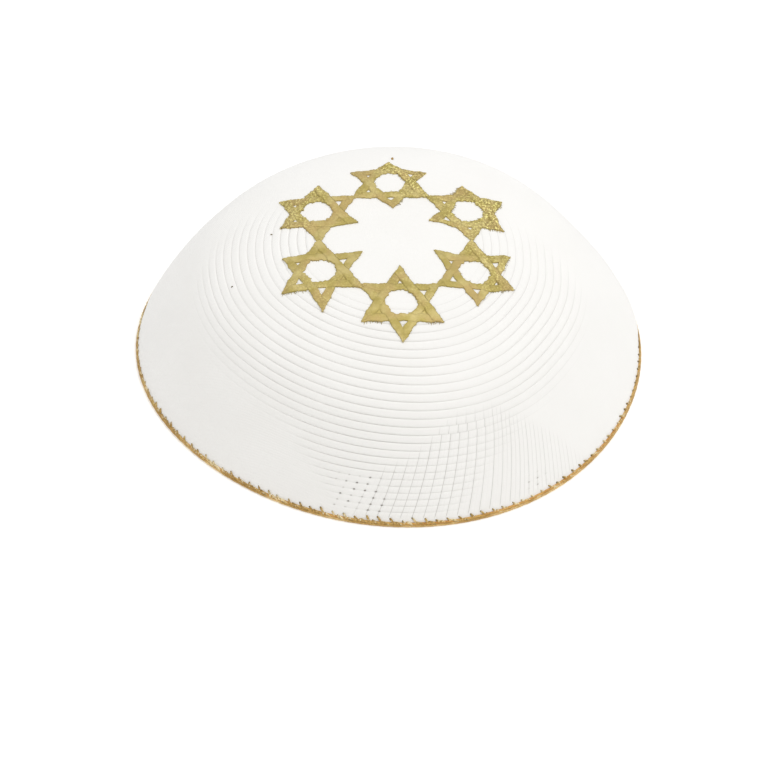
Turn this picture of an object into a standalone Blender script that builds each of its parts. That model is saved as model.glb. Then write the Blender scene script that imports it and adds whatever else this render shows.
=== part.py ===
"""A crocheted skullcap (kippah): a white cotton crown worked in rounds, a ring of six gold
stars on its top and a gold crocheted edging, lying on its rim as it does by itself.

Metres, +Z up. The origin lies on the surface that the cap rests on, under the middle of its
rim. The front is -Y, where one of the stars points.
"""

import math

import bmesh
import bpy
import numpy as np
from mathutils import Vector

# Sizes of the cap
RIM_RADIUS = 0.072  # mean radius of the rim, to the outside of the edging
HEIGHT = 0.040  # middle of the crown above the surface
WALL = 0.0016  # thickness of the crocheted cotton
GAP = 0.0003  # between two pieces that lie on each other

# Sizes of the gold pieces
STAR_COUNT = 6
STAR_RADIUS = 0.012  # centre to tip, along the cloth
STAR_BAND = 0.0021  # width of one stitch band of a star
STAR_THICKNESS = 0.0008
EDGING_WIDTH = 0.0030
EDGING_HEIGHT = 0.0018
EDGING_FLAT = 0.0002  # how much of the round cord its own weight presses flat

# How the middle of the crown has sunk sideways: towards -X and towards the front
CROWN_LEAN_X = -0.0020
CROWN_LEAN_Y = -0.0013

# The section from the middle of the crown to the rim, in rows evenly spaced along the cloth.
# out is a share of RIM_RADIUS, up a share of HEIGHT.
SECTION = (
    dict(out=0.000, up=1.000),
    dict(out=0.180, up=1.000),
    dict(out=0.370, up=0.995),
    dict(out=0.550, up=0.905),
    dict(out=0.715, up=0.750),
    dict(out=0.830, up=0.520),
    dict(out=0.920, up=0.270),
    dict(out=1.000, up=0.000),
)

# The rim isn't quite round. swell is a share of the radius at the rim and fades towards the
# crown, lobes is how often it comes round, and towards is where it is largest, in degrees.
PLAN_SWELLS = (
    dict(lobes=2, swell=0.027, towards=22),
    dict(lobes=3, swell=0.023, towards=42),
)

# The soft side wall stands fuller at the back and has sunk at the front. lift is a share of
# HEIGHT. It is largest two thirds of the way down and fades to nothing at the rim.
SIDE_LIFTS = (
    dict(lobes=1, lift=0.120, towards=101),
    dict(lobes=2, lift=0.026, towards=69),
)
LIFT_PEAK = 4 / 27  # the largest value of share * share * (1 - share)

# How finely the solids are divided
CROWN_ROWS = 20
CROWN_COLUMNS = 60
EDGING_COLUMNS = 60
EDGING_SIDES = 12
STAR_EDGE_PARTS = 2
SECTION_STEPS = 140

WHITE_COTTON = dict(color=(0.93, 0.92, 0.89, 1), roughness=0.9, metallic=0.0)
GOLD_THREAD = dict(color=(0.50, 0.40, 0.13, 1), roughness=0.55, metallic=0.3)
GOLD_EDGING = dict(color=(0.52, 0.33, 0.10, 1), roughness=0.6, metallic=0.3)


def clear_scene():
    for old in list(bpy.data.objects):
        bpy.data.objects.remove(old)


def add_material(name, color, roughness, metallic):
    material = bpy.data.materials.new(name)
    material.use_nodes = True
    shader = material.node_tree.nodes["Principled BSDF"]
    shader.inputs["Base Color"].default_value = color
    shader.inputs["Roughness"].default_value = roughness
    shader.inputs["Metallic"].default_value = metallic
    return material


def add_collection(name):
    collection = bpy.data.collections.new(name)
    bpy.context.scene.collection.children.link(collection)
    return collection


def add_object(name, data, collection, material=None):
    new = bpy.data.objects.new(name, data)
    collection.objects.link(new)
    if material:
        data.materials.append(material)
    return new


def smooth_between(values, share):
    """A smooth curve through evenly spaced values, read at share, from 0 to 1."""
    last = len(values) - 2 - 1
    row = min(int(share * last), last - 1)
    f = share * last - row
    a, b, c, d = values[row : row + 4]
    bend = 2 * a - 5 * b + 4 * c - d + f * (3 * (b - c) + d - a)
    return b + 0.5 * f * (c - a + f * bend)


def with_ends(values, mirror):
    """The values with one more at each end: mirrored at the crown and run on past the rim."""
    return [mirror * values[1], *values, 2 * values[-1] - values[-2]]


OUT = with_ends([row["out"] for row in SECTION], -1)
UP = with_ends([row["up"] for row in SECTION], 1)


def wave(rows, size, angle):
    return sum(row[size] * math.cos(row["lobes"] * (angle - math.radians(row["towards"]))) for row in rows)


def rim_radius(angle):
    return RIM_RADIUS * (1 + wave(PLAN_SWELLS, "swell", angle))


def rim_middle():
    """The middle of the edging's extents, which becomes the origin."""
    turns = [2 * math.pi * i / EDGING_COLUMNS for i in range(EDGING_COLUMNS)]
    xs = [rim_radius(turn) * math.cos(turn) for turn in turns]
    ys = [rim_radius(turn) * math.sin(turn) for turn in turns]
    return (min(xs) + max(xs)) / 2, (min(ys) + max(ys)) / 2


MIDDLE_X, MIDDLE_Y = rim_middle()


def face_point(share, angle):
    """A point of the cloth's outer face: share runs from the crown to the rim, angle round it."""
    radius = RIM_RADIUS * smooth_between(OUT, share) * (1 + share * wave(PLAN_SWELLS, "swell", angle))
    lift = share * share * (1 - share) / LIFT_PEAK * wave(SIDE_LIFTS, "lift", angle)
    near_crown = 1 - share * share
    return Vector(
        (
            radius * math.cos(angle) + CROWN_LEAN_X * near_crown - MIDDLE_X,
            radius * math.sin(angle) + CROWN_LEAN_Y * near_crown - MIDDLE_Y,
            HEIGHT * (smooth_between(UP, share) + lift),
        )
    )


def above_face(share, angle, height):
    """The point at this height straight above the outer face."""
    step = 0.002
    down = face_point(min(share + step, 1), angle) - face_point(share - step, angle)
    round_it = face_point(share, angle + step) - face_point(share, angle - step)
    return face_point(share, angle) + height * down.cross(round_it).normalized()


def lengths_along_section():
    """The length of cloth from the crown to each of SECTION_STEPS shares of the mean section."""
    shares = [i / SECTION_STEPS for i in range(SECTION_STEPS + 1)]
    out = np.array([RIM_RADIUS * smooth_between(OUT, share) for share in shares])
    up = np.array([HEIGHT * smooth_between(UP, share) for share in shares])
    return np.concatenate([[0], np.cumsum(np.hypot(np.diff(out), np.diff(up)))]), shares


LENGTHS, SHARES = lengths_along_section()


def on_laid_out_cloth(x, y, height):
    """Places a point, given on the cloth laid out flat round the crown, on the cap."""
    share = float(np.interp(math.hypot(x, y), LENGTHS, SHARES))
    return above_face(share, math.atan2(y, x), height)


def crown_shell(collection, cutters, material):
    """The white crocheted crown: an open surface given its wall, cut level over the edging."""
    bm = bmesh.new()
    bmesh.ops.create_grid(bm, x_segments=CROWN_ROWS, y_segments=CROWN_COLUMNS, size=0.5)
    for vert in bm.verts:
        vert.co = face_point(vert.co.x + 0.5, (vert.co.y + 0.5) * 2 * math.pi)
    bmesh.ops.remove_doubles(bm, verts=bm.verts, dist=1e-6)
    mesh = bpy.data.meshes.new("crown_shell")
    bm.to_mesh(mesh)
    bm.free()
    mesh.shade_smooth()
    crown = add_object("crown_shell", mesh, collection, material)

    wall = crown.modifiers.new("wall", "SOLIDIFY")
    wall.thickness = WALL
    wall.offset = -1
    wall.use_even_offset = True

    foot = EDGING_HEIGHT + GAP
    below = 3 * WALL
    block = bmesh.new()
    bmesh.ops.create_cube(block, size=1)
    bmesh.ops.scale(block, vec=(3 * RIM_RADIUS, 3 * RIM_RADIUS, foot + below), verts=block.verts)
    bmesh.ops.translate(block, vec=(0, 0, (foot - below) / 2), verts=block.verts)
    block_mesh = bpy.data.meshes.new("below_foot")
    block.to_mesh(block_mesh)
    block.free()
    cutter = add_object("below_foot", block_mesh, cutters)
    cutter.hide_render = True
    cutter.display_type = "WIRE"

    cut = crown.modifiers.new("level_foot", "BOOLEAN")
    cut.operation = "DIFFERENCE"
    cut.object = cutter


def turned(radius, degrees):
    return radius * math.cos(math.radians(degrees)), radius * math.sin(math.radians(degrees))


def star_lines():
    """The closed lines of one star, its first tip towards +X: the outline, the hexagon in its
    middle and the small triangle in each tip that two crossing triangles of one band leave."""
    side = STAR_RADIUS / 2  # from the centre to a triangle's side
    notch = side / math.cos(math.radians(30))
    outline = [turned(notch if i % 2 else STAR_RADIUS, 30 * i) for i in range(12)]
    hexagon = [turned((side - STAR_BAND) / math.cos(math.radians(30)), 30 + 60 * i) for i in range(6)]
    top = STAR_RADIUS - 2 * STAR_BAND
    half = (top - side) * math.tan(math.radians(30))
    holes = []
    for i in range(6):
        cos, sin = turned(1, 60 * i)
        corners = ((top, 0), (side, half), (side, -half))
        holes.append([(x * cos - y * sin, x * sin + y * cos) for x, y in corners])
    return [outline, hexagon, *holes]


def divided(line):
    """The line with each of its sides cut into STAR_EDGE_PARTS, so that it bends with the cloth."""
    points = []
    for (x0, y0), (x1, y1) in zip(line, line[1:] + line[:1]):
        for i in range(STAR_EDGE_PARTS):
            part = i / STAR_EDGE_PARTS
            points.append((x0 + (x1 - x0) * part, y0 + (y1 - y0) * part))
    return points


def star(name, degrees, collection, material):
    """One gold star: cut flat as an outline with its holes, then laid on the crown."""
    curve = bpy.data.curves.new(name, "CURVE")
    curve.dimensions = "2D"
    curve.fill_mode = "BOTH"
    curve.extrude = STAR_THICKNESS / 2
    for line in star_lines():
        points = divided(line)
        spline = curve.splines.new("POLY")
        spline.points.add(len(points) - 1)
        for point, (x, y) in zip(spline.points, points):
            point.co = (x, y, 0, 1)
        spline.use_cyclic_u = True
    flat = add_object(name, curve, collection)
    mesh = bpy.data.meshes.new_from_object(flat.evaluated_get(bpy.context.evaluated_depsgraph_get()))
    bpy.data.objects.remove(flat)
    bpy.data.curves.remove(curve)

    bm = bmesh.new()
    bm.from_mesh(mesh)
    bmesh.ops.remove_doubles(bm, verts=bm.verts, dist=1e-6)
    ring = 2 * STAR_RADIUS + GAP
    cos, sin = turned(1, degrees)
    for vert in bm.verts:
        out, aside, up = ring + vert.co.x, vert.co.y, vert.co.z
        height = GAP + STAR_THICKNESS / 2 + up
        vert.co = on_laid_out_cloth(out * cos - aside * sin, out * sin + aside * cos, height)
    bmesh.ops.recalc_face_normals(bm, faces=bm.faces)
    bm.to_mesh(mesh)
    bm.free()
    add_object(name, mesh, collection, material)


def rim_edging(collection, material):
    """The gold crocheted cord round the rim, pressed flat where it rests."""
    bpy.ops.mesh.primitive_torus_add(
        major_segments=EDGING_COLUMNS,
        minor_segments=EDGING_SIDES,
        major_radius=RIM_RADIUS,
        minor_radius=EDGING_WIDTH / 2,
    )
    edging = bpy.context.object
    edging.name = edging.data.name = "rim_edging"
    for old in edging.users_collection:
        old.objects.unlink(edging)
    collection.objects.link(edging)
    edging.data.materials.append(material)
    for vert in edging.data.vertices:
        x, y, z = vert.co
        angle = math.atan2(y, x)
        out = math.hypot(x, y) - RIM_RADIUS - EDGING_WIDTH / 2
        up = (z / EDGING_WIDTH + 0.5) * (EDGING_HEIGHT + EDGING_FLAT) - EDGING_FLAT
        rim = face_point(1, angle)
        vert.co = (rim.x + out * math.cos(angle), rim.y + out * math.sin(angle), max(up, 0))
    edging.data.shade_smooth()


clear_scene()
cap = add_collection("skullcap")
cutters = add_collection("cutters")
white = add_material("white_cotton", **WHITE_COTTON)
gold = add_material("gold_thread", **GOLD_THREAD)
gold_edge = add_material("gold_edging", **GOLD_EDGING)

crown_shell(cap, cutters, white)
for number in range(STAR_COUNT):
    star(f"star_{number + 1}", -90 + 360 / STAR_COUNT * number, cap, gold)
rim_edging(cap, gold_edge)
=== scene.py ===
"""A crocheted skullcap (kippah) as it looks: white cotton worked in rounds, a ring of six gold
stars of metallic yarn and a gold crocheted edging, on a white ground in soft light.

Metres, +Z up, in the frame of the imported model. The front is -Y.
"""

import math

import bpy
import numpy as np
from mathutils import Matrix, Vector


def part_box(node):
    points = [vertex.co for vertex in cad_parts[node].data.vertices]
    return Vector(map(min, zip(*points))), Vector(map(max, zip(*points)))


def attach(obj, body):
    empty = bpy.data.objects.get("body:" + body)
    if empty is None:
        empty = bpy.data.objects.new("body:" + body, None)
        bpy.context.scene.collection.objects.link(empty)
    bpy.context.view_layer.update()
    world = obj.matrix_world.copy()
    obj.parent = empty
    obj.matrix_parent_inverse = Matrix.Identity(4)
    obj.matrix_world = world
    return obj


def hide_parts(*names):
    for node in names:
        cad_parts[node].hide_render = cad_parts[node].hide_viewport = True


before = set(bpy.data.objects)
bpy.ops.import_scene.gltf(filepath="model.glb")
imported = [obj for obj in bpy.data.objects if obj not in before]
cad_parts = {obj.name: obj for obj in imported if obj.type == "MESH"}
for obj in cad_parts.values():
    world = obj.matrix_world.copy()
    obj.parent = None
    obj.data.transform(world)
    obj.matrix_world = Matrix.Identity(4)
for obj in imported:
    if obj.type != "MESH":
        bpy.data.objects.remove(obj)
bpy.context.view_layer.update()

BODY = "root"
MM = 0.001
TURN = 2 * math.pi

# The cap's form, as in the solids: how far out the cloth is, as a share of the rim's mean
# radius, and how far up, as a share of the height, evenly spaced from the crown to the rim.
SECTION = (
    (0.000, 1.000),
    (0.180, 1.000),
    (0.370, 0.995),
    (0.550, 0.905),
    (0.715, 0.750),
    (0.830, 0.520),
    (0.920, 0.270),
    (1.000, 0.000),
)
PLAN_SWELLS = (
    dict(lobes=2, size=0.027, towards=22),
    dict(lobes=3, size=0.023, towards=42),
)
SIDE_LIFTS = (
    dict(lobes=1, size=0.120, towards=101),
    dict(lobes=2, size=0.026, towards=69),
)
LIFT_PEAK = 4 / 27
CROWN_LEAN_X = -2.0 * MM
CROWN_LEAN_Y = -1.3 * MM
SOLID_ROWS = 20
SOLID_COLUMNS = 60

# The crochet of the crown
ROUNDS = 40  # rounds from the crown to the rim
FIRST_GROOVE = 0.51  # where the first groove between two rounds lies, in rounds
MOST_STITCHES = 24  # in a sixth of a round
MORE_STITCHES = 0.9  # that each round has over the one before it, in a sixth
FIRST_TURN = 1.973  # the direction in which the first round starts, in degrees
LEAN_PER_ROUND = 0.215  # how far the columns turn clockwise on their way out, in stitches
STITCH_WIDE = 3.1 * MM
ROUND_HIGH = 2.2 * MM
CLOTH_THICK = 1.6 * MM
TOP_LAST = 27  # the last round of the upper piece of the cloth
SIDE_LAST = 39  # the last round, which ends inside the edging
SIDE_END = 0.9  # how much of the last round is there

# The gold stars, drawn flat with their first tip towards +X
STAR_RING = 24.3 * MM  # from the middle of the crown to a star's middle, along the cloth
STAR_STEP = 0.1625 * MM  # between two rows of the star's net of triangles
STAR_SIDE = 40 * STAR_STEP  # from a star's middle to the outer side of a band
STAR_INNER = 25 * STAR_STEP  # and to its inner side
STAR_RADIUS = 2 * STAR_SIDE  # to a tip: the yarn spreads until the tips of two stars meet
STAR_BAND = STAR_SIDE - STAR_INNER
# How many rows of the net the yarn closes the small hole in a tip by
OPEN, SMALL, SHUT = -1, 1, 4
# The stars from the front one anticlockwise. grain is how lumpy the yarn is, in millimetres, on
# the side towards lumpy, in degrees, and even is the share of that elsewhere. The rest follows
# the tips, the outermost first, anticlockwise: holes, and pulls, which say how the cloth has
# drawn each tip along and across its direction, in millimetres. frays are edges with loose
# ends: the side, counted as the tips are, and from where to where along it, in millimetres.
# grain also sets how strongly the yarn's dark specks and painted glints show
STARS = (
    dict(
        grain=0.015, lumpy=60, even=0.5,
        holes=(OPEN, SHUT, OPEN, SMALL, SHUT, SHUT),
        pulls=((-0.2, -0.2), (-0.4, 0.2), (0.1, 0.2), (0.7, -0.6), (0.0, 0.0), (0.0, -0.2)),
        frays=((0, -10.5, -5.5), (0, 7.0, 10.5)),
    ),
    dict(
        grain=0.035, lumpy=20, even=0.15,
        holes=(SMALL, OPEN, SHUT, SMALL, OPEN, OPEN),
        pulls=((-1.2, 1.7), (0.3, 1.4), (-0.3, -0.1), (0.2, -2.0), (-0.2, -0.3), (-1.1, 0.0)),
        frays=((0, 6.0, 10.5), (5, 4.5, 10.5)),
    ),
    dict(
        grain=0.07, lumpy=10, even=0.45,
        holes=(SHUT, SHUT, SMALL, OPEN, SMALL, SHUT),
        pulls=((-0.6, 0.2), (-1.9, 0.6), (-0.2, 0.3), (-1.6, -2.2), (-0.4, 0.3), (-1.3, -1.2)),
        frays=((2, -10.0, -4.5), (1, -10.5, -4.5), (4, 4.5, 10.0), (5, 5.5, 10.5)),
    ),
    dict(
        grain=0.06, lumpy=40, even=0.25,
        holes=(SHUT, SMALL, SMALL, OPEN, SHUT, OPEN),
        pulls=((-2.4, -0.3), (-0.5, 0.6), (0.0, 0.0), (-2.3, 0.5), (-0.1, -0.3), (-1.2, -1.4)),
        frays=((4, -9.0, -4.5), (1, -10.0, -5.5)),
    ),
    dict(
        grain=0.055, lumpy=150, even=0.2,
        holes=(SMALL, SMALL, SHUT, SHUT, OPEN, SHUT),
        pulls=((-0.3, -0.5), (-1.1, 0.0), (0.4, 0.2), (-1.1, 1.7), (0.0, 0.0), (-1.1, -0.6)),
        frays=((5, 4.5, 10.5), (0, -10.0, -4.5)),
    ),
    dict(
        grain=0.02, lumpy=250, even=0.3,
        holes=(OPEN, OPEN, SHUT, OPEN, SHUT, SMALL),
        pulls=((-0.2, -0.2), (1.4, -0.2), (0.2, -0.5), (1.1, 0.6), (-0.4, -0.2), (-1.2, -0.3)),
        frays=((1, -10.5, -4.0),),
    ),
)


def smooth_between(values, share):
    """A smooth curve through evenly spaced values, read at shares from 0 to 1."""
    share = np.asarray(share, float)
    last = len(values) - 3
    row = np.minimum((share * last).astype(int), last - 1)
    f = share * last - row
    a, b, c, d = (np.asarray(values)[row + k] for k in range(4))
    bend = 2 * a - 5 * b + 4 * c - d + f * (3 * (b - c) + d - a)
    return b + 0.5 * f * (c - a + f * bend)


def with_ends(values, mirror):
    """The values with one more at each end: mirrored at the crown and run on past the rim."""
    return [mirror * values[1], *values, 2 * values[-1] - values[-2]]


OUT = with_ends([out for out, up in SECTION], -1)
UP = with_ends([up for out, up in SECTION], 1)


def wave(rows, angle):
    """The sum of some swells round the cap, read in a direction."""
    return sum(row["size"] * np.cos(row["lobes"] * (angle - math.radians(row["towards"]))) for row in rows)


def unit_rim():
    """The extents and the middle of the rim of a cap with a mean radius of 1."""
    angle = np.arange(SOLID_COLUMNS) * TURN / SOLID_COLUMNS
    radius = 1 + wave(PLAN_SWELLS, angle)
    x, y = radius * np.cos(angle), radius * np.sin(angle)
    return x.max() - x.min(), (x.max() + x.min()) / 2, (y.max() + y.min()) / 2


def side_lift(share, angle):
    """How far the side stands above the mean section, as a share of the height."""
    return share * share * (1 - share) / LIFT_PEAK * wave(SIDE_LIFTS, angle)


def unit_height():
    """The highest point of a cap whose crown is 1 high, at the corners of the solid's faces."""
    share, angle = np.meshgrid(
        np.arange(SOLID_ROWS + 1) / SOLID_ROWS, np.arange(SOLID_COLUMNS) * TURN / SOLID_COLUMNS
    )
    return (smooth_between(UP, share) + side_lift(share, angle)).max()


RIM_LOW, RIM_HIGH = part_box("rim_edging")
CROWN_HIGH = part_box("crown_shell")[1]
UNIT_WIDTH, UNIT_X, UNIT_Y = unit_rim()
RIM_RADIUS = (RIM_HIGH.x - RIM_LOW.x) / UNIT_WIDTH
HEIGHT = CROWN_HIGH.z / unit_height()


def face_points(share, angle):
    """Points of the cloth's outer face: share runs from the crown to the rim, angle round it."""
    share, angle = np.broadcast_arrays(np.asarray(share, float), np.asarray(angle, float))
    radius = RIM_RADIUS * smooth_between(OUT, share) * (1 + share * wave(PLAN_SWELLS, angle))
    near_crown = 1 - share * share
    return np.stack(
        [
            radius * np.cos(angle) + CROWN_LEAN_X * near_crown - RIM_RADIUS * UNIT_X,
            radius * np.sin(angle) + CROWN_LEAN_Y * near_crown - RIM_RADIUS * UNIT_Y,
            HEIGHT * (smooth_between(UP, share) + side_lift(share, angle)),
        ],
        axis=-1,
    )


def unit(vectors):
    return vectors / np.linalg.norm(vectors, axis=-1, keepdims=True)


def face_normals(share, angle):
    step = 0.002
    share, angle = np.broadcast_arrays(np.asarray(share, float), np.asarray(angle, float))
    share = np.maximum(share, step)
    down = face_points(np.minimum(share + step, 1), angle) - face_points(share - step, angle)
    round_it = face_points(share, angle + step) - face_points(share, angle - step)
    return unit(np.cross(down, round_it))


def above_face(share, angle, height):
    """Points at these heights straight above the outer face."""
    height = np.asarray(height, float)
    return face_points(share, angle) + height[..., None] * face_normals(share, angle)


LENGTH_STEPS = 280


def lengths_along_section():
    """The length of cloth from the crown to each of many shares of the mean section."""
    shares = np.linspace(0, 1, LENGTH_STEPS + 1)
    out = RIM_RADIUS * smooth_between(OUT, shares)
    up = HEIGHT * smooth_between(UP, shares)
    return np.concatenate([[0], np.cumsum(np.hypot(np.diff(out), np.diff(up)))]), shares


LENGTHS, SHARES = lengths_along_section()


def on_laid_out_cloth(x, y, height):
    """Places points, given on the cloth laid out flat round the crown, on the cap."""
    share = np.interp(np.hypot(x, y), LENGTHS, SHARES)
    return above_face(share, np.arctan2(y, x), height)


def ease(low, high, value):
    """Rises smoothly from 0 at low to 1 at high, or falls where high is the smaller one."""
    t = np.clip((np.asarray(value, float) - low) / (high - low), 0, 1)
    return t * t * (3 - 2 * t)


def near(angle, middle, half, soft):
    """1 within half a width of the middle direction, fading to 0 over soft, all in degrees."""
    away = np.abs((np.degrees(angle) - middle + 180) % 360 - 180)
    return ease(half + soft, half, away)


def pulse(distance, width):
    """1 at distance 0, falling off like a bell."""
    return np.exp(-((distance / width) ** 2))


def stitches_in(number):
    """How many stitches a round has."""
    return 6 * min(max(round(MORE_STITCHES * number), 1), MOST_STITCHES)


def round_turns():
    """The direction in which each round starts, so that the columns of stitches lean."""
    turns = [math.radians(FIRST_TURN)]
    for number in range(ROUNDS):
        turns.append(turns[-1] - LEAN_PER_ROUND * TURN / stitches_in(number))
    return turns


ROUND_TURNS = round_turns()


def round_turn(number, part):
    """The direction in which this part of a round starts."""
    return ROUND_TURNS[number] + (ROUND_TURNS[number + 1] - ROUND_TURNS[number]) * part


def share_of(rounds):
    """The share of the cloth between the crown and the rim, so many rounds out."""
    return np.clip((rounds - 1 + FIRST_GROOVE) / ROUNDS, 0, 1)


# Where the rounds wander from even circles: towards the rim where size, in rounds, is above 0
WANDERS = (
    dict(towards=205, spread=14, about=21, reach=8, size=0.18),
    dict(towards=290, spread=24, about=22, reach=9, size=0.24),
    dict(towards=323, spread=11, about=22, reach=10, size=-0.16),
    dict(towards=345, spread=10, about=27, reach=4, size=0.20),
    dict(towards=360, spread=12, about=19, reach=4, size=-0.26),
    dict(towards=248, spread=14, about=34, reach=4, size=0.22),
)
WANDER_FROM = (10, 14)  # the rounds over which the wandering sets in, outside the stars
WANDER_TO = (39.5, 37)  # and over which it ends, at the edging


def wandered(rounds, angle):
    moved = 0.0
    for row in WANDERS:
        away = (np.degrees(angle) - row["towards"] + 180) % 360 - 180
        about = pulse(rounds - row["about"], row["reach"])
        moved = moved + row["size"] * about * pulse(away, row["spread"])
    return rounds + moved * ease(*WANDER_FROM, rounds) * ease(*WANDER_TO, rounds)


# In each direction, in degrees, the last round that has a groove, and how open the grooves are:
# the rounds lie closed low on the left and right, and open on the shoulder and in front
GROOVES = (
    (12, 19.0, 0.30),
    (30, 15.0, 0.08),
    (148, 17.0, 0.05),
    (160, 22.0, 0.45),
    (170, 24.0, 0.65),
    (185, 27.0, 0.70),
    (200, 28.0, 0.60),
    (215, 29.0, 0.65),
    (230, 30.0, 0.90),
    (240, 31.5, 0.80),
    (247, 35.5, 0.80),
    (256, 40.5, 1.00),
    (268, 42.0, 0.95),
    (280, 40.0, 0.75),
    (292, 33.5, 0.55),
    (305, 29.5, 0.60),
    (320, 28.5, 0.85),
    (335, 27.5, 0.80),
    (350, 26.5, 0.55),
    (360, 24.0, 0.50),
)
# In each direction the first round whose columns of stitches part, and how open they are there
WALES = (
    (254, 39.0, 0.0),
    (258, 35.5, 0.4),
    (262, 31.0, 0.8),
    (270, 29.0, 0.9),
    (278, 25.5, 1.0),
    (284, 24.0, 0.9),
    (296, 24.0, 0.75),
    (304, 27.5, 0.65),
    (310, 31.0, 0.5),
    (318, 41.0, 0.2),
)
GROOVE_FADE = 5  # the rounds over which the last grooves fade
WALE_FADE = 2.5  # and over which the columns open
GROOVES_END = (39.2, 38.2)  # where all end at the edging
WALES_END = (39.2, 38.6)
PITS_END = (38.9, 38.3)
LEAST_OPEN = 0.03
BACK_GROOVES = 0.6  # how open the stitches are at the back
BACK_WALES = 0.4


def at_back(rounds, angle):
    """1 low on the back, from the left round to the right."""
    return near(angle, 90, 62, 16) * ease(24, 29, rounds)


def at_direction(rows, angle):
    """What the rows give for their directions, in degrees, read at other ones."""
    known, *columns = zip(*rows)
    return [np.interp(np.degrees(angle), known, column, period=360) for column in columns]


def groove_strength(rounds, angle):
    last, strong = at_direction(GROOVES, angle)
    seen = strong * ease(last, last - GROOVE_FADE, rounds)
    beside_stars = np.maximum(near(angle, 180, 10, 8), near(angle, 0, 10, 8))
    # Under the stars there are none, and between two of them they are deeper
    between = beside_stars * ease(9, 11.5, rounds)
    seen = seen * np.maximum(ease(10.0, 14.0, rounds), between)
    seen = seen * (1 + 0.5 * beside_stars * ease(15, 13.5, rounds))
    # Where the pits and the columns gape, the grooves are closed
    seen = seen * (1 - 0.75 * pits_open(rounds, angle))
    seen = seen * (1 - 0.32 * wale_strength(rounds, angle))
    seen = np.maximum(seen, BACK_GROOVES * at_back(rounds, angle))
    return LEAST_OPEN + (1 - LEAST_OPEN) * seen * ease(*GROOVES_END, rounds)


def wale_strength(rounds, angle):
    first, strong = at_direction(WALES, angle)
    seen = strong * ease(first, first + WALE_FADE, rounds)
    seen = np.maximum(seen, BACK_WALES * at_back(rounds, angle))
    return LEAST_OPEN + (1 - LEAST_OPEN) * seen * ease(*WALES_END, rounds)


def half_wale_strength(rounds, angle):
    """How open a column is between its two legs, which is most on the right of the front."""
    return wale_strength(rounds, angle) * (0.10 + 0.50 * near(angle, 306, 8, 8))


# Where the corners of the stitches gape: low in front, mostly on its left
PITS = (
    dict(towards=258.5, half=4.5, soft=2.5, first=32.4, strong=1.0),
    dict(towards=300.5, half=2.0, soft=1.5, first=35.6, strong=0.6),
)


def pits_open(rounds, angle):
    gaping = 0.0
    for row in PITS:
        here = row["strong"] * near(angle, row["towards"], row["half"], row["soft"])
        gaping = np.maximum(gaping, here * ease(row["first"], row["first"] + 0.8, rounds))
    return gaping * ease(*PITS_END, rounds)


def pit_strength(rounds, stitch, angle):
    """How open the hole at the nearest corner of a stitch is: no two are alike."""
    corner = np.sin(np.round(stitch) * 12.99 + np.round(rounds) * 78.23) * 43758.5
    return pits_open(rounds, angle) * (0.2 + 0.8 * ease(-0.1, 0.85, corner % 1))


GROOVE_DEEP = 0.22 * MM
GROOVE_WIDE = 0.15 * MM
WALE_DEEP = 0.18 * MM
HALF_WALE_DEEP = 0.16 * MM
WALE_WIDE = 0.18 * MM
PIT_DEEP = 0.60 * MM
PIT_WIDE = 0.24 * MM
ROUND_SWELL = 0.08 * MM
INNER_RIDGE = 0.22 * MM
INNER_RIDGE_FOOT = 0.12 * MM
INNER_STITCH = 0.06 * MM
# Where the cloth bulges over its edging, at the back on both sides, and over which rounds
BULGES = (
    dict(towards=154, half=8, soft=12, high=0.6 * MM),
    dict(towards=14, half=10, soft=8, high=1.0 * MM),
)
BULGE_FROM = (27, 37.5)
BULGE_TO = (40, 38.8)


def cloth_height(rounds, stitch, angle, masks):
    """The relief of the outer face, in metres, where the solid's face is 0."""
    part = rounds % 1
    side = stitch % 1
    to_groove = np.minimum(part, 1 - part) * ROUND_HIGH
    to_wale = np.minimum(side, 1 - side) * STITCH_WIDE
    to_half = np.abs(side - 0.5) * STITCH_WIDE
    over_edging = ease(*BULGE_FROM, rounds) * ease(*BULGE_TO, rounds)
    bulge = sum(row["high"] * near(angle, row["towards"], row["half"], row["soft"]) for row in BULGES)
    height = bulge * over_edging + ROUND_SWELL * np.sin(math.pi * part) * masks["groove"]
    height = height - GROOVE_DEEP * masks["groove"] * pulse(to_groove, GROOVE_WIDE)
    height = height - WALE_DEEP * masks["wale"] * pulse(to_wale, WALE_WIDE)
    height = height - HALF_WALE_DEEP * masks["half"] * pulse(to_half, WALE_WIDE)
    return height - PIT_DEEP * masks["pit"] * pulse(np.hypot(to_groove, to_wale), PIT_WIDE)


def back_height(rounds, stitch, angle, masks):
    """The relief of the inner face, where each round stands as a ridge towards the head."""
    ridge = INNER_RIDGE * np.sin(math.pi * (rounds % 1)) - INNER_RIDGE_FOOT
    return -CLOTH_THICK - ridge - INNER_STITCH * np.cos(TURN * (stitch % 1))


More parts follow.
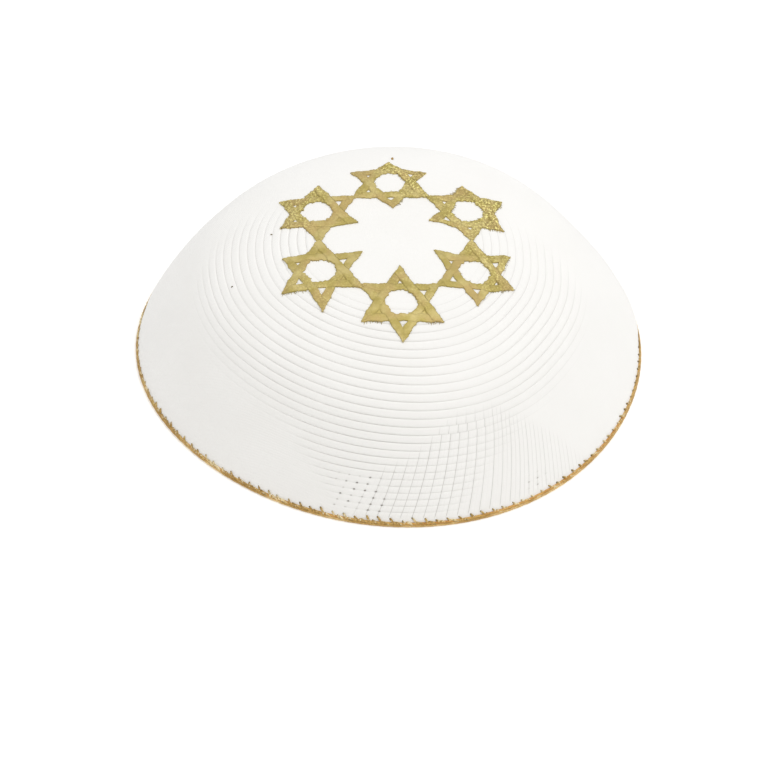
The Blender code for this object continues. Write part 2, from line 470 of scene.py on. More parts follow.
class Skin:
    """Points in rings and the faces between them. Each corner of a face keeps its place in the
    crochet, as stitch and round, and each point how open the stitches are there."""

    MASKS = ("groove", "wale", "half", "pit")

    def __init__(self):
        self.points = []
        self.masks = {name: [] for name in self.MASKS}
        self.faces = []
        self.corners = []

    def ring(self, number, part, columns, height):
        """Adds the ring of points at this part of a round and returns what zip needs of it."""
        count = stitches_in(number)
        stitch = (np.arange(count)[:, None] + np.asarray(columns)).ravel()
        angle = round_turn(number, part) + TURN * stitch / count
        rounds = number + part
        uneven = 0.90 + 0.10 * np.sin(2.6 * np.round(stitch))  # from one column to the next
        masks = {
            "groove": groove_strength(rounds, angle),
            "wale": wale_strength(rounds, angle) * uneven,
            "half": half_wale_strength(rounds, angle),
            "pit": pit_strength(rounds, stitch, angle),
        }
        first = len(self.points)
        share = share_of(wandered(rounds, angle))
        above = height(rounds, stitch, angle, masks)
        self.points.extend(above_face(share, angle, above).tolist())
        for name in self.MASKS:
            self.masks[name].extend(np.broadcast_to(masks[name], angle.shape).tolist())
        return dict(first=first, angle=angle, round=rounds)

    def middle(self, height):
        """Adds the point in the middle of the crown."""
        self.points.append(above_face(0.0, 0.0, height).tolist())
        for name in self.MASKS:
            self.masks[name].append(0.0)
        return len(self.points) - 1

    def add_face(self, corners, flip):
        """Adds a face whose corners are each given as a point's index and its place."""
        points, places = zip(*(corners[::-1] if flip else corners))
        self.faces.append(points)
        self.corners.extend(places)

    def zip(self, number, inner, outer, flip):
        """Faces between two rings, which may differ in their count of points."""
        count = stitches_in(number)
        alike = len(inner["angle"]) == len(outer["angle"])
        rings = []
        start = inner["angle"][0]
        for ring in (inner, outer):
            angle = start + (ring["angle"] - start) % TURN
            if alike and ring is outer:
                # Rings with the same count start at their own first point
                angle = ring["angle"]
            order = np.argsort(angle)
            angle = np.append(angle[order], angle[order[0]] + TURN)
            index = np.append(order, order[0]) + ring["first"]
            turn = round_turn(number, ring["round"] - number)
            stitch = (angle - turn) * count / TURN
            places = [(float(s), float(ring["round"]), 0.0) for s in stitch]
            rings.append((angle, list(zip(index.tolist(), places))))
        (angle_a, a), (angle_b, b) = rings
        if alike and abs(angle_a[0] - angle_b[0]) < 0.6 * (angle_a[1] - angle_a[0]):
            for i in range(len(a) - 1):
                self.add_face((a[i], b[i], b[i + 1], a[i + 1]), flip)
            return
        i = k = 0
        while i < len(a) - 1 or k < len(b) - 1:
            ahead_a = angle_a[i + 1] if i < len(a) - 1 else math.inf
            ahead_b = angle_b[k + 1] if k < len(b) - 1 else math.inf
            if ahead_a < ahead_b:
                self.add_face((a[i], b[k], a[i + 1]), flip)
                i += 1
            else:
                self.add_face((a[i], b[k], b[k + 1]), flip)
                k += 1

    def fan(self, centre, ring, flip):
        """Faces between the middle point and the first ring."""
        count = len(ring["angle"])
        for i in range(count):
            ends = ((ring["first"] + k % count, (0.5, 1.0, 0.0)) for k in (i, i + 1))
            self.add_face(((centre, (0.5, 0.49, 0.0)), *ends), flip)


def new_piece(name, points, faces, material):
    mesh = bpy.data.meshes.new(name)
    mesh.from_pydata(points, [], faces)
    mesh.materials.append(material)
    mesh.shade_smooth()
    piece = bpy.data.objects.new(name, mesh)
    bpy.context.scene.collection.objects.link(piece)
    return piece


def keep_numbers(mesh, name, values, kind="FLOAT", domain="POINT"):
    """Stores one number, or one vector, for each point or corner of a mesh."""
    kept = mesh.attributes.new(name, kind, domain)
    kept.data.foreach_set("value" if kind == "FLOAT" else "vector", np.asarray(values, np.float32).ravel())


# Where the points of a face lie in a round and in a stitch, and which way it looks
OUTER_FACE = dict(
    parts=(0.1, 0.28, 0.5, 0.72, 0.9, 1.0),
    columns=(0.0, 0.1, 0.4, 0.5, 0.6, 0.9),
    height=cloth_height,
    flip=False,
)
INNER_FACE = dict(parts=(0.5, 1.0), columns=(0.0, 0.5), height=back_height, flip=True)
SHARP_ANGLE = math.radians(60)  # faces that meet at more than this have a sharp edge


def cloth_face(skin, first, last, end, parts, columns, height, flip):
    """One face of the cloth from the start of one round to the end of another."""
    if first == 0:
        start = None
        ring = skin.ring(0, 1.0, columns, height)
        # The middle lies as high as the middle of a round whose stitches are closed
        closed = height(1.5, 0.25, 0.0, dict.fromkeys(Skin.MASKS, 0.0))
        skin.fan(skin.middle(closed), ring, flip)
    else:
        ring = start = skin.ring(first - 1, 1.0, columns, height)
    for number in range(max(first, 1), last + 1):
        for part in parts:
            if number == last and part > end:
                continue
            following = skin.ring(number, part, columns, height)
            skin.zip(number, ring, following, flip)
            ring = following
    return start, ring


def cloth(name, first, last, end, material):
    """A closed piece of the crocheted cloth, with its outer face, its inner face and its edges."""
    skin = Skin()
    outer_start, outer_end = cloth_face(skin, first, last, end, **OUTER_FACE)
    inner_start, inner_end = cloth_face(skin, first, last, end, **INNER_FACE)
    skin.zip(last, outer_end, inner_end, False)
    if outer_start:
        skin.zip(first, outer_start, inner_start, True)
    piece = new_piece(name, skin.points, skin.faces, material)
    piece.data.set_sharp_from_angle(angle=SHARP_ANGLE)
    keep_numbers(piece.data, "crochet", skin.corners, "FLOAT_VECTOR", "CORNER")
    for mask, values in skin.masks.items():
        keep_numbers(piece.data, mask, values)
    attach(piece, BODY)
    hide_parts("crown_shell")


class Shader:
    """A node tree under construction: its surface shader and short ways to add nodes to it."""

    def __init__(self, owner, surface="Principled BSDF"):
        owner.use_nodes = True
        self.owner = owner
        self.tree = owner.node_tree
        self.surface = self.tree.nodes[surface]

    def put(self, socket, value):
        """Links a socket to the input, or sets the input to a number, vector or colour."""
        if isinstance(value, bpy.types.NodeSocket):
            self.tree.links.new(value, socket)
        else:
            socket.default_value = value

    def set(self, **values):
        """Sets inputs of the surface shader, named with _ for a space."""
        for name, value in values.items():
            self.put(self.surface.inputs[name.replace("_", " ")], value)

    def add(self, kind, values, output=0, **settings):
        """Adds a node with these inputs and settings, and returns one of its outputs."""
        node = self.tree.nodes.new(f"ShaderNode{kind}")
        for name, value in settings.items():
            setattr(node, name, value)
        for name, value in values.items():
            self.put(node.inputs[name], value)
        return node.outputs[output]

    def math(self, operation, *values, clamp=False):
        return self.add("Math", dict(enumerate(values)), operation=operation, use_clamp=clamp)

    def times(self, a, b):
        return self.math("MULTIPLY", a, b)

    def fade(self, value, low, high):
        """1 where value is at low, 0 where it is at high, smooth between."""
        inputs = {"Value": value, "From Min": low, "From Max": high, "To Min": 1.0, "To Max": 0.0}
        return self.add("MapRange", inputs, interpolation_type="SMOOTHSTEP")

    def mix(self, share, a, b):
        """A colour between a and b."""
        return self.add("Mix", {0: share, 6: a, 7: b}, 2, data_type="RGBA")

    def read(self, name, output="Fac"):
        """A stored number of the mesh."""
        return self.add("Attribute", {}, output, attribute_name=name)

    def split(self, vector):
        """The three parts of a vector."""
        return self.add("SeparateXYZ", {0: vector}).node.outputs

    def noise(self, vector, scale, detail=2.0, roughness=0.5):
        inputs = {"Vector": vector, "Scale": scale, "Detail": detail, "Roughness": roughness}
        return self.add("TexNoise", inputs)

    def place(self):
        """The place on the object, in metres."""
        return self.add("TexCoord", {}, "Object")

    def bump(self, height, distance, strength):
        inputs = {"Height": height, "Distance": distance, "Strength": strength}
        self.set(Normal=self.add("Bump", inputs))


def white_cotton():
    """White cotton yarn: crochet with painted shade in its grooves and holes, two plied legs to a stitch,
    fine fibres.
    """
    made = Shader(bpy.data.materials.new("white_cotton_yarn"))
    stitch, rounds, _ = made.split(made.read("crochet", "Vector"))
    side = made.math("FRACT", stitch)
    part = made.math("FRACT", rounds)
    to_groove = made.math("MINIMUM", part, made.math("SUBTRACT", 1.0, part))
    to_wale = made.math("MINIMUM", side, made.math("SUBTRACT", 1.0, side))
    to_half = made.math("ABSOLUTE", made.math("SUBTRACT", side, 0.5))
    squares = made.math("ADD", made.math("POWER", to_groove, 2.0), made.math("POWER", to_wale, 2.0))
    painted_groove_shade = 0.0
    # Painted shade along the grooves, between the columns and between a stitch's two legs:
    # how far out each kind of line fades, in rounds or stitches, and how dark it is
    for mask, away, wide, dark in (
        ("groove", to_groove, 0.075, 0.30),
        ("wale", to_wale, 0.055, 0.56),
        ("half", to_half, 0.055, 0.50),
    ):
        line_shade = made.times(made.fade(away, 0.0, wide), made.read(mask))
        painted_groove_shade = made.math("MAXIMUM", painted_groove_shade, made.times(line_shade, dark))
    # Painted shade in the holes that gape at the stitches' corners
    pit = made.times(made.fade(made.math("SQRT", squares), 0.03, 0.17), made.read("pit"))
    painted_groove_shade = made.math("MAXIMUM", painted_groove_shade, pit, clamp=True)
    patches = made.noise(made.place(), 60.0, 3.0)
    white = made.mix(patches, (0.90, 0.893, 0.879, 1), (0.94, 0.936, 0.925, 1))
    # The cotton's white, darkened towards grey brown by the painted shade
    made.set(Base_Color=made.mix(painted_groove_shade, white, (0.30, 0.28, 0.25, 1)))
    made.set(Roughness=0.86, Specular_IOR_Level=0.25, Sheen_Weight=0.12, Sheen_Roughness=0.5)
    # Each leg of a stitch is a plied yarn, whose plies climb to the right
    climb = made.math("MULTIPLY_ADD", stitch, 4 * TURN, made.times(rounds, 3 * TURN))
    plies = made.math("SINE", climb)
    fine = made.add("CombineXYZ", {0: made.times(stitch, 30.0), 1: made.times(rounds, 12.0)})
    fibres = made.noise(fine, 1.0, 3.0, 0.6)
    made.bump(made.math("MULTIPLY_ADD", plies, 0.25, fibres), 0.05 * MM, 0.8)
    return made.owner


# The gold yarns: their colour, that of their light and warm patches, from which the painted glints are
# brightened, and that of the painted shade in their hollows, which their dark specks and the slubs also
# take
GOLDS = {
    "star_yarn": dict(
        colour=(0.47, 0.375, 0.10, 1), light=(0.60, 0.49, 0.19, 1),
        warm=(0.53, 0.395, 0.143, 1), dark=(0.25, 0.19, 0.04, 1),
    ),
    "edging_olive": dict(
        colour=(0.60, 0.385, 0.12, 1), light=(0.78, 0.56, 0.26, 1),
        warm=(0.52, 0.31, 0.09, 1), dark=(0.28, 0.19, 0.06, 1),
    ),
    "edging_orange": dict(
        colour=(0.50, 0.24, 0.05, 1), light=(0.62, 0.35, 0.10, 1),
        warm=(0.60, 0.38, 0.11, 1), dark=(0.22, 0.12, 0.03, 1),
    ),
    "edging_legs": dict(
        colour=(0.60, 0.40, 0.12, 1), light=(0.82, 0.68, 0.40, 1),
        warm=(0.45, 0.27, 0.07, 1), dark=(0.11, 0.085, 0.02, 1),
    ),
}
PLY_LONG = 0.34  # from ply to ply along the yarn, in millimetres
PLY_WIDE = 0.5  # and across it


def gold_yarn(name, colour, light, warm, dark):
    """Gold crochet yarn with a metallic thread: plies, lumps of colour, painted glints and painted shade
    in its hollows.
    """
    made = Shader(bpy.data.materials.new(name))
    # The yarn's third number darkens it: painted shade at the stars' band edges and at the tips of the
    # legs and loose ends, and the slubs' own dark colour
    along, across, shade = made.split(made.read("yarn", "Vector"))
    place = made.place()
    glints = made.noise(place, 1700.0, 3.0, 0.65)
    tint = made.mix(made.fade(made.noise(place, 260.0), 0.62, 0.38), colour, light)
    tint = made.mix(made.fade(made.noise(place, 120.0), 0.60, 0.44), tint, warm)
    grain = made.read("grain")
    # Dark specks, and bright specks that are painted glints, on one fine noise, as strong as the grain
    tint = made.mix(made.times(made.fade(glints, 0.38, 0.47), grain), tint, dark)
    painted_glint = [min(1.9 * part, 1) for part in light[:3]] + [1]
    tint = made.mix(made.times(made.fade(glints, 0.62, 0.54), grain), tint, painted_glint)
    made.set(Base_Color=made.mix(shade, tint, dark))
    made.set(Metallic=0.35, Specular_IOR_Level=0.5, Sheen_Weight=0.05)
    made.set(Roughness=made.math("MULTIPLY_ADD", glints, 0.3, 0.32))
    twist = made.math("MULTIPLY_ADD", along, TURN / PLY_LONG, made.times(across, TURN / PLY_WIDE))
    fibres = made.noise(place, 2600.0, 2.0, 0.6)
    made.bump(made.math("MULTIPLY_ADD", made.math("SINE", twist), 0.3, fibres), 0.06 * MM, 0.9)
    return made.owner


# Which way each side of a star faces, and which way its band runs, as a column
BAND_ANGLES = np.arange(6) * TURN / 6
BAND_NORMALS = np.stack([np.cos(BAND_ANGLES), np.sin(BAND_ANGLES)], axis=-1)
BAND_RUNS = np.stack([-BAND_NORMALS[:, 1], BAND_NORMALS[:, 0]])
STAR_SLACK = 0.01 * STAR_STEP  # how near to a line a point counts as on it


def in_star(points, holes):
    """Which of the points lie in one of the star's two triangles, and not in one of its holes."""
    depth = points @ BAND_NORMALS.T
    inside = (depth[:, 0::2].max(1) < STAR_SIDE) | (depth[:, 1::2].max(1) < STAR_SIDE)
    inside &= depth.max(1) > STAR_INNER
    for tip, closed in enumerate(holes):
        beside = np.maximum(depth[:, (tip + 1) % 6], depth[:, (tip - 1) % 6])
        inset = closed * STAR_STEP
        inside &= (depth[:, tip] < STAR_SIDE + inset) | (beside > STAR_INNER - inset)
    return inside


def star_net(holes):
    """The points and triangles of a flat star, on a net whose lines its edges follow."""
    side = STAR_STEP / math.cos(math.radians(30))
    reach = int(STAR_RADIUS / STAR_STEP) + 2
    i, k = np.meshgrid(np.arange(-reach, reach + 1), np.arange(-2 * reach, 2 * reach + 1), indexing="ij")
    points = np.stack([i * STAR_STEP, i * side / 2 + k * side], axis=-1).reshape(-1, 2)
    wide = i.shape[1]
    corner = (np.arange(i.shape[0] - 1)[:, None] * wide + np.arange(wide - 1)).ravel()
    halves = (0, wide, 1), (wide, wide + 1, 1)
    triangles = np.concatenate([corner[:, None] + half for half in halves])
    triangles = triangles[in_star(points[triangles].mean(1), holes)]
    used, triangles = np.unique(triangles, return_inverse=True)
    return points[used], triangles.reshape(-1, 3)


def edges_of(triangles):
    """The directed edges that only one triangle has."""
    edges = np.concatenate([triangles[:, (0, 1)], triangles[:, (1, 2)], triangles[:, (2, 0)]])
    known = set(map(tuple, edges.tolist()))
    return [edge for edge in edges.tolist() if (edge[1], edge[0]) not in known]


STAR_EDGE_HIGH = 0.30 * MM
STAR_DIP = 0.1 * MM  # how far below that the star is beside its bands
STAR_DEEP = 0.1 * MM  # how deep its underside lies in the cloth
STAR_CROWN = 0.10 * MM
STAR_WEAVE = 0.04 * MM
WEAVE_WIDE = 1.5 * MM
LUMP_LONG = 0.95 * MM
TEETH = 64
TOOTH_PITCH = 1.1 * MM
TOOTH_HIGH = 0.26 * MM
RAISED_TOWARDS = 30  # the direction of the side whose band stands proud, in degrees
RAISED = 0.16 * MM


def lumpiness(points, degrees, row):
    """How lumpy the yarn is at each point of a star, as a share of the star's grain."""
    towards = math.radians(row["lumpy"] - degrees)
    to_side = points @ np.array((math.cos(towards), math.sin(towards))) / MM
    x, y = points[:, 0] / (1.3 * MM), points[:, 1] / (1.7 * MM)
    to_side = to_side + 2.0 * np.sin(x + degrees) * np.sin(y)
    return row["even"] + (1 - row["even"]) * ease(-3, 5, to_side)


def star_relief(points, degrees, grain):
    """The height of each point of a star, its place along and across its band, and its painted shade."""
    depth, run = points @ BAND_NORMALS.T, points @ BAND_RUNS
    best = np.full(len(points), STAR_EDGE_HIGH - STAR_DIP)
    along, across, shade = (np.zeros(len(points)) for _ in range(3))
    half = STAR_BAND / 2
    crossing = (STAR_SIDE - half) * math.tan(math.radians(30))
    for band in range(6):
        away = depth[:, band] - (STAR_SIDE - half)
        mates = np.maximum(depth[:, (band + 2) % 6], depth[:, (band + 4) % 6])
        here = (np.abs(away) < half + STAR_SLACK) & (mates < STAR_SIDE + STAR_SLACK)
        u = run[:, band]
        v = np.clip(away / half, -1, 1)
        round_top = np.sqrt(np.maximum(1 - v**2, 0))
        weave = pulse(u - crossing, WEAVE_WIDE) - pulse(u + crossing, WEAVE_WIDE)
        turned = (60 * band + degrees - RAISED_TOWARDS + 180) % 360 - 180
        raised = RAISED if abs(turned) < 1 else 0.0
        lumps = np.cos(TURN * (u / LUMP_LONG + 0.55 * np.abs(v))) * (0.35 + 0.65 * round_top)
        high = STAR_EDGE_HIGH + STAR_CROWN * round_top + STAR_WEAVE * weave + raised + grain * lumps
        better = here & (high > best)
        best[better] = high[better]
        along[better] = u[better] / MM
        across[better] = away[better] / MM
        # Painted shade towards the edges of a band, strongest on the outer side of the raised band, where
        # it steps down
        edge = (1 - round_top) ** 3
        shade[better] = (edge * np.where(v > 0, 0.95 if raised else 0.30, 0.18))[better]
    return best, np.stack([along, across, shade], axis=-1)


def star_teeth(points, rim, rng):
    """How far each point of the outline stands out, as the ends of the stitches make it."""
    depth, run = points @ BAND_NORMALS.T, points @ BAND_RUNS
    moved = np.zeros_like(points)
    for band in range(6):
        tooth_sizes = rng.uniform(0.25, 1.0, TEETH)
        place = run[:, band] / TOOTH_PITCH + TEETH / 2
        size = tooth_sizes[np.clip(place.astype(int), 0, TEETH - 1)]
        out = TOOTH_HIGH * size * (place % 1 - 0.35)
        for side, outward in ((STAR_SIDE, 1), (STAR_INNER, -1)):
            on_line = rim & (np.abs(depth[:, band] - side) < STAR_SLACK)
            moved[on_line] += outward * out[on_line, None] * BAND_NORMALS[band]
    return moved


HOLE_ROUNDS = 0.55  # how far the opening in the middle has gone from a hexagon to a circle
HOLE_WAVES = (3, 7, 12, 19)  # the waves round the opening, which make it uneven
HOLE_WAVE_HIGH = 0.09 * MM
EDGE_WAVES = (4.5 * MM, 2.3 * MM)  # the waves in which the bands wander


def pulled(points, pulls, phases):
    """A star's points drawn out of their even places: its tips pulled, its opening rounded."""
    depth = points @ BAND_NORMALS.T
    moved = np.zeros_like(points)
    for tip, (along, aside) in enumerate(pulls):
        share = ease(STAR_SIDE - MM, STAR_RADIUS, depth[:, tip])
        moved += MM * share[:, None] * (along * BAND_NORMALS[tip] + aside * BAND_RUNS[:, tip])
    radius = np.hypot(points[:, 0], points[:, 1])
    angle = np.arctan2(points[:, 1], points[:, 0])
    by_hole = ease(STAR_INNER + 1.2 * MM, STAR_INNER, depth.max(1))
    hexagon = radius / np.maximum(depth.max(1), MM) * STAR_INNER
    change = HOLE_ROUNDS * (1.07 * STAR_INNER - hexagon)
    for cycles, phase in zip(HOLE_WAVES, phases):
        change = change + HOLE_WAVE_HIGH * np.sin(cycles * angle + phase)
    moved += (by_hole * change / np.maximum(radius, MM))[:, None] * points
    for wave_long, (phase, other) in zip(EDGE_WAVES, (phases[:2], phases[2:])):
        moved[:, 0] += 0.025 * wave_long * np.sin(TURN * points[:, 1] / wave_long + phase)
        moved[:, 1] += 0.025 * wave_long * np.sin(TURN * points[:, 0] / wave_long + other)
    return points + moved


def lay_star(points, degrees, height):
    """Places a flat star's points on the crown, at these heights above the cloth."""
    cos, sin = math.cos(math.radians(degrees)), math.sin(math.radians(degrees))
    out = STAR_RING + points[:, 0]
    return on_laid_out_cloth(out * cos - points[:, 1] * sin, out * sin + points[:, 1] * cos, height)


FRAY_STEP = 0.75  # from one loose end of a frayed edge to the next, in millimetres
END_HIGH = 0.24 * MM  # where a loose end leaves the star, above the cloth
END_SINKS = 0.18 * MM
END_THICK = 0.085 * MM


def loose_ends(row, degrees, phases, rng):
    """Short ends of yarn that stick out of a star's frayed edges and into its opening."""
    tubes = Tubes()
    places = []
    for side, start, end in row["frays"]:
        for along in np.arange(start, end, FRAY_STEP):
            along = along + rng.uniform(-0.2, 0.2)
            places.append((side, STAR_SIDE, along * MM, 1, rng.uniform(0.35, 0.95)))
    for side in range(6):
        for along in np.arange(-2.0, 2.2, 0.8):
            if rng.uniform() < 0.30 + 5 * row["grain"]:
                along = along + rng.uniform(-0.3, 0.3)
                places.append((side, STAR_INNER, along * MM, -1, rng.uniform(0.2, 0.6)))
    part = np.linspace(-0.5, 1, 5)
    for side, out, along, outward, length in places:
        normal, beside = BAND_NORMALS[side], BAND_RUNS[:, side]
        way = outward * normal + rng.uniform(-0.6, 0.6) * beside
        flat = out * normal + along * beside + length * MM * part[:, None] * way
        flat = pulled(flat, row["pulls"], phases)
        height = END_HIGH - END_SINKS * np.clip(part, 0, 1)
        centres = lay_star(flat, degrees, height)
        ups = unit(centres - lay_star(flat, degrees, height - MM))
        thick = END_THICK * (1 - 0.5 * np.clip(part, 0, 1))
        # Painted shade, growing towards the end that sinks into the cloth
        shade = rng.uniform(0.2, 1.0) * ease(0.1, 0.9, part)
        tubes.add_end(centres, ups, thick, shade, 5)
    return tubes


def star(name, degrees, row, material, rng):
    """One gold star: a closed relief of interlaced bands, laid on the crown."""
    points, triangles = star_net(row["holes"])
    rim_edges = edges_of(triangles)
    rim = np.zeros(len(points), bool)
    rim[np.unique(rim_edges)] = True
    grain = row["grain"] * lumpiness(points, degrees, row)
    height, yarn = star_relief(points, degrees, grain * MM)
    phases = rng.uniform(0, TURN, 4)
    spread = pulled(points, row["pulls"], phases) + star_teeth(points, rim, rng)
    top = lay_star(spread, degrees, height)
    low = lay_star(spread, degrees, np.full(len(points), -STAR_DEEP))
    count = len(points)
    faces = triangles.tolist()
    faces += [(c + count, b + count, a + count) for a, b, c in triangles.tolist()]
    faces += [(b, a, a + count, b + count) for a, b in rim_edges]
    ends = loose_ends(row, degrees, phases, rng)
    faces += [tuple(2 * count + index for index in face) for face in ends.faces]
    piece = new_piece(f"{name}_yarn", top.tolist() + low.tolist() + ends.points, faces, material)
    keep_numbers(piece.data, "yarn", yarn.tolist() * 2 + ends.yarn, "FLOAT_VECTOR")
    # How strongly the dark specks and painted glints show
    speckled = np.minimum(13 * grain, 0.95).tolist()
    keep_numbers(piece.data, "grain", speckled * 2 + [0.5] * len(ends.points))
    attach(piece, BODY)
    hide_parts(name)


class Tubes:
    """Points and faces of yarns, each a tube of rings along a path."""

    def __init__(self):
        self.points = []
        self.faces = []
        self.yarn = []

    def add(self, centres, across, up, sizes, shades, closed):
        """A tube through the centres, whose section lies along across and up, with its sizes."""
        sides = sizes.shape[1]
        around = np.arange(sides) * TURN / sides
        ring = (
            centres[:, None]
            + sizes[..., None] * np.cos(around)[None, :, None] * across[:, None]
            + sizes[..., None] * np.sin(around)[None, :, None] * up[:, None]
        )
        ring[..., 2] = np.maximum(ring[..., 2], 0)
        first, rows = len(self.points), len(centres)
        self.points.extend(ring.reshape(-1, 3).tolist())
        gaps = np.linalg.norm(np.diff(centres, axis=0), axis=1)
        along = np.concatenate([[0], np.cumsum(gaps)]) / MM
        yarn = np.repeat(along, sides), np.tile(around / TURN, rows), np.repeat(shades, sides)
        self.yarn.extend(np.stack(yarn, axis=-1).tolist())
        for row in range(rows if closed else rows - 1):
            a = first + row * sides
            b = first + (row + 1) % rows * sides
            for side in range(sides):
                after = (side + 1) % sides
                self.faces.append((a + side, a + after, b + after, b + side))
        if not closed:
            self.faces.append(tuple(first + side for side in reversed(range(sides))))
            self.faces.append(tuple(first + (rows - 1) * sides + side for side in range(sides)))

    def add_end(self, centres, normals, radii, shades, sides):
        """A short round yarn that lies on the cloth, whose normals are given."""
        across = unit(np.cross(np.gradient(centres, axis=0), normals))
        self.add(centres, across, normals, np.repeat(radii[:, None], sides, axis=1), shades, False)

    def piece(self, name, grain, material):
        """Makes the tubes one piece, with one grain all over, which sets how strong its dark specks and
        painted glints are.
        """
        piece = new_piece(name, self.points, self.faces, material)
        keep_numbers(piece.data, "yarn", self.yarn, "FLOAT_VECTOR")
        keep_numbers(piece.data, "grain", np.full(len(self.points), grain))
        return piece


EDGE_STITCHES = 6 * MOST_STITCHES
# The strands of the edging's cord, from the outer lower one to the inner one. inset runs from
# the outermost line of the rim towards the middle, and high is above the ground.
STRANDS = (
    dict(name="outer", inset=0.39 * MM, high=0.36 * MM, thick=0.74 * MM, turn=0.0, gold="edging_olive"),
    dict(name="upper", inset=0.60 * MM, high=0.93 * MM, thick=0.72 * MM, turn=0.5, gold="edging_orange"),
    dict(name="inner", inset=2.45 * MM, high=0.52 * MM, thick=1.00 * MM, turn=0.25, gold="edging_orange"),
)
STRAND_SIDES = 12


def rim_at(angle, inset, high):
    """Points inside the rim's outermost line, at a height above the ground."""
    rim = face_points(1.0, angle)
    rim[..., 0] -= inset * np.cos(angle)
    rim[..., 1] -= inset * np.sin(angle)
    rim[..., 2] = high
    return rim


def strand(row, material):
    """One strand of the edging's cord: a chain of stitches, each a lump of slanted plies."""
    steps = 12 * EDGE_STITCHES
    angle = np.arange(steps) * TURN / steps
    around = np.arange(STRAND_SIDES) * TURN / STRAND_SIDES
    centres = rim_at(angle, row["inset"], row["high"])
    outward = np.stack([np.cos(angle), np.sin(angle), np.zeros(steps)], axis=-1)
    up = np.tile((0.0, 0.0, 1.0), (steps, 1))
    stitch = angle[:, None] / TURN * EDGE_STITCHES + row["turn"] + around[None, :] / TURN
    lump = np.abs(np.sin(math.pi * stitch)) ** 0.6
    tubes = Tubes()
    tubes.add(centres, outward, up, row["thick"] / 2 * (0.80 + 0.24 * lump), np.zeros(steps), True)
    finish_edging(tubes.piece(f"edging_{row['name']}_strand", 0.2, material))


def finish_edging(piece):
    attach(piece, BODY)
    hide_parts("rim_edging")


LEG_THICK = 0.52 * MM
LEG_LIFT = 0.05 * MM  # how high the foot of a leg lies
LEG_ARCH = 0.20 * MM  # how much higher its middle is
LEG_DIVE = 0.3 * MM  # how far its tip enters the cloth
LEG_FOOT_ROUND = 39.95
# The legs of each edging stitch: where they start and how far they lean, in stitches, how many
# rounds they rise, how thick they are, and how dark the painted shade at their tips is
LEGS = (
    dict(start=0.57, lean=0.36, rise=0.98, thick=1.10, dark=1.0),
    dict(start=0.22, lean=0.28, rise=0.46, thick=0.85, dark=0.6),
    dict(start=-0.15, lean=0.75, rise=0.40, thick=1.10, dark=0.1),
)
# How high the legs reach in each direction, in degrees, as a share
LEG_REACHES = (
    (165, 0.45),
    (185, 0.30),
    (205, 0.55),
    (230, 0.68),
    (246, 0.85),
    (262, 1.00),
    (290, 1.00),
    (305, 0.85),
    (330, 0.75),
    (360, 0.50),
    (30, 0.60),
)


def edging_legs(material, rng):
    """The slanted legs that hold the edging on the cloth, each ending in the hole it enters."""
    tubes = Tubes()
    parts = np.linspace(0, 1, 7)
    lift = LEG_ARCH * np.sin(math.pi * np.clip(parts * 1.1, 0, 1)) + LEG_LIFT - LEG_DIVE * parts**6
    for number in range(EDGE_STITCHES):
        foot = ROUND_TURNS[SIDE_LAST] - TURN * number / EDGE_STITCHES
        (reach,) = at_direction(LEG_REACHES, foot)
        for leg in LEGS:
            lean = leg["lean"] * rng.uniform(0.7, 1.3) * (1.5 - 0.5 * reach)
            rise = leg["rise"] * rng.uniform(0.65, 1.15) * reach
            thick = leg["thick"] * LEG_THICK / 2 * rng.uniform(0.75, 1.15)
            stitch = number + leg["start"] + rng.uniform(-0.08, 0.08) + lean * parts
            angle = ROUND_TURNS[SIDE_LAST] - TURN * stitch / EDGE_STITCHES
            share = share_of(LEG_FOOT_ROUND - rise * np.sin(parts * math.pi / 2))
            # Painted shade, deepest at the tip, which dives into its hole
            shade = leg["dark"] * rng.uniform(0.5, 1.0) * ease(0.5, 0.95, parts)
            centres, normals = above_face(share, angle, lift), face_normals(share, angle)
            tubes.add_end(centres, normals, thick * (1 - 0.35 * parts**3), shade, 7)
    finish_edging(tubes.piece("edging_legs", 0.5, material))


SLUB_LONG = 0.60 * MM
SLUB_THICK = 0.36 * MM
SLUB_LIFT = 0.1 * MM
# Small knots of yarn left on the crown: in which direction and round, how large and how dark
SLUBS = (
    dict(at=193.6, round=20.6, size=1.0, dark=1.0),
    dict(at=172.0, round=15.1, size=0.9, dark=0.8),
    dict(at=87.5, round=16.7, size=2.1, dark=0.1),
)


def slubs(material):
    tubes = Tubes()
    parts = np.linspace(-1, 1, 7)
    for row in SLUBS:
        share = share_of(row["round"] + 0.5 * row["size"] * SLUB_LONG / ROUND_HIGH * parts)
        angle = math.radians(row["at"])
        centres = above_face(share, angle, SLUB_LIFT * np.cos(parts))
        thick = row["size"] * SLUB_THICK * np.sqrt(1.05 - parts**2)
        tubes.add_end(centres, face_normals(share, angle), thick / 2, np.full(7, row["dark"]), 7)
    piece = tubes.piece("slubs", 0.2, material)
    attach(piece, BODY)
    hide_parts("crown_shell")


# The camera: its picture is square. The angles are in degrees and the aim is on the cap's axis.
CAMERA_ELEVATION = 40.28
CAMERA_AZIMUTH = 6.53
CAMERA_ROLL = 3.83
CAMERA_DISTANCE = 567.6 * MM
CAMERA_AIM_HIGH = 17.03 * MM
CAMERA_SENSOR = 36.0
CAMERA_LENS = 93.75
PICTURE_SIDE = 768
AIM_PIXEL_X = 394.6  # where the photograph has the aim
AIM_PIXEL_Y = 304.4


def turned(first, second, angle):
    """Two directions at right angles, both turned by an angle from the first to the second."""
    cos, sin = math.cos(angle), math.sin(angle)
    return cos * first + sin * second, cos * second - sin * first


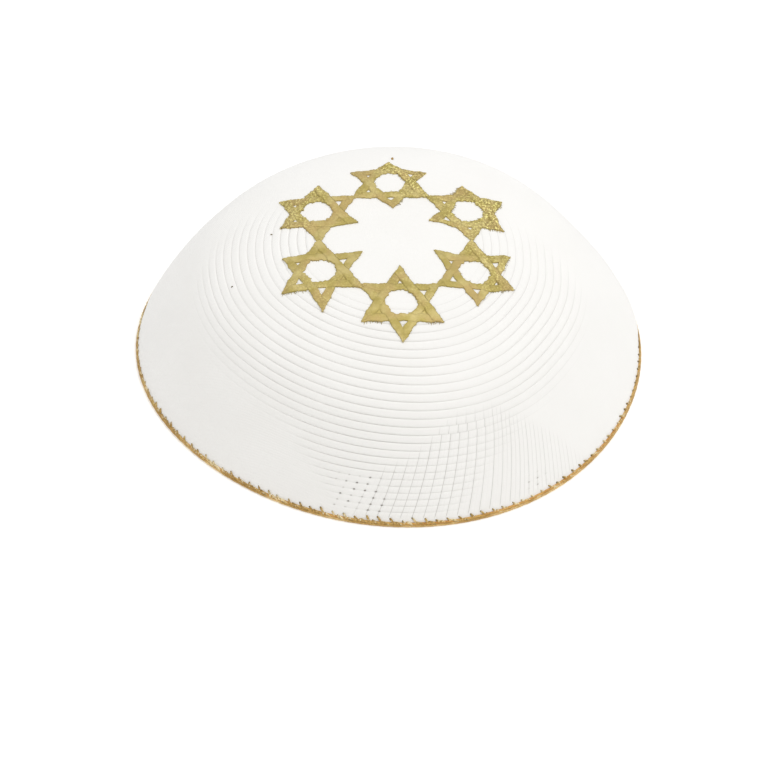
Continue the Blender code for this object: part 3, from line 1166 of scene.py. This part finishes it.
def add_camera():
    """A camera that looks past the aim, so that the cap lies where the photograph has it."""
    azimuth, elevation = math.radians(CAMERA_AZIMUTH), math.radians(CAMERA_ELEVATION)
    level = math.cos(elevation)
    right = Vector((math.cos(azimuth), -math.sin(azimuth), 0))
    ahead = Vector((math.sin(azimuth) * level, math.cos(azimuth) * level, -math.sin(elevation)))
    up = right.cross(ahead)
    place = Vector((0, 0, CAMERA_AIM_HIGH)) - CAMERA_DISTANCE * ahead
    right, up = turned(right, up, math.radians(CAMERA_ROLL))
    focal = CAMERA_LENS / CAMERA_SENSOR * PICTURE_SIDE
    up, ahead = turned(up, ahead, math.atan((PICTURE_SIDE / 2 - AIM_PIXEL_Y) / focal))
    right, ahead = turned(right, ahead, math.atan((AIM_PIXEL_X - PICTURE_SIDE / 2) / focal))
    data = bpy.data.cameras.new("camera")
    data.sensor_width = CAMERA_SENSOR
    data.lens = CAMERA_LENS
    camera = bpy.data.objects.new("camera", data)
    bpy.context.scene.collection.objects.link(camera)
    turn = Matrix((right, up, -ahead)).transposed().to_4x4()
    camera.matrix_world = Matrix.Translation(place) @ turn
    bpy.context.scene.camera = camera


FLOOR_SIDE = 4.0
FLOOR_GLOW = 0.19
SIDE_LIGHT = 0.465
TOP_LIGHT = 1.00
KEY_POWER = 4.2
KEY_SIZE = 0.9
KEY_PLACE = (0.36, 0.09, 1.12)


def add_floor():
    half = FLOOR_SIDE / 2
    made = Shader(bpy.data.materials.new("white_ground"))
    fine = made.noise(made.place(), 8.0, 3.0)
    made.set(Base_Color=made.mix(fine, (0.94, 0.94, 0.94, 1), (0.96, 0.96, 0.96, 1)), Roughness=0.9)
    made.set(Emission_Color=(1, 1, 1, 1), Emission_Strength=FLOOR_GLOW)
    corners = [(-half, -half, 0), (half, -half, 0), (half, half, 0), (-half, half, 0)]
    new_piece("ground", corners, [(0, 1, 2, 3)], made.owner)


def add_light():
    """An even white room, a little warmer in front than behind, and a large soft lamp above."""
    world = bpy.data.worlds.new("studio")
    bpy.context.scene.world = world
    made = Shader(world, "Background")
    way = made.split(made.add("TexCoord", {}, "Generated"))
    behind = made.add("MapRange", {"Value": way["Y"], "From Min": -1.0})
    made.set(Color=made.mix(behind, (1.0, 0.975, 0.925, 1), (0.975, 0.985, 1.0, 1)))
    limits = {"To Min": SIDE_LIGHT, "To Max": TOP_LIGHT}
    made.set(Strength=made.add("MapRange", {"Value": way["Z"], **limits}))
    data = bpy.data.lights.new("soft_key", "AREA")
    data.shape = "DISK"
    data.size = KEY_SIZE
    data.energy = KEY_POWER
    data.color = (1.0, 0.995, 0.985)
    key = bpy.data.objects.new("soft_key", data)
    bpy.context.scene.collection.objects.link(key)
    key.location = KEY_PLACE
    key.rotation_euler = (-Vector(KEY_PLACE)).to_track_quat("-Z", "Y").to_euler()
    bpy.context.scene.view_settings.view_transform = "Standard"


add_camera()
add_floor()
add_light()

white = white_cotton()
cloth("crown_top", 0, TOP_LAST, 1.0, white)
cloth("crown_side", TOP_LAST + 1, SIDE_LAST, SIDE_END, white)

golds = {name: gold_yarn(f"gold_{name}", **colours) for name, colours in GOLDS.items()}
seeded = np.random.default_rng(7)
for number, row in enumerate(STARS):
    star(f"star_{number + 1}", -90 + 360 / len(STARS) * number, row, golds["star_yarn"], seeded)
for row in STRANDS:
    strand(row, golds[row["gold"]])
edging_legs(golds["edging_legs"], seeded)
slubs(golds["edging_legs"])
